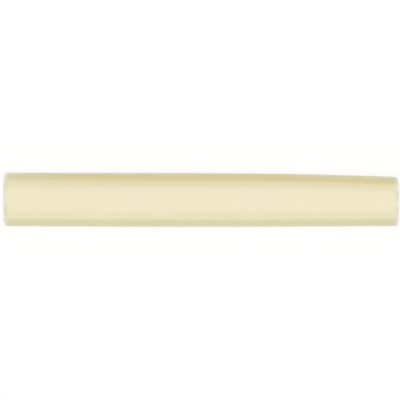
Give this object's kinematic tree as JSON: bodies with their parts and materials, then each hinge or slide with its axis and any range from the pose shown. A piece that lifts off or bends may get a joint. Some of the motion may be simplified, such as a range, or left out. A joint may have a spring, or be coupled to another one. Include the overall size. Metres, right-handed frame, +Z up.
{
  "type": "pencil liner tile",
  "caption": "Slim half-round strip of glazed ceramic with rolled ends and a flat keyed back, set as a border line in a tiled wall.",
  "frame": {"origin": "middle of the overall box, on the plane of the flat back", "axes": "+X along the length, +Y across to the far long edge, +Z up from the back to the crown"},
  "size_m": [0.15, 0.0206, 0.0125],
  "materials": {
    "cream_glaze": "glossy cream glaze over the face and ends, bare fired clay on the back"
  },
  "bodies": {
    "root": {"liner_tile": "cream_glaze"}
  },
  "joints": []
}
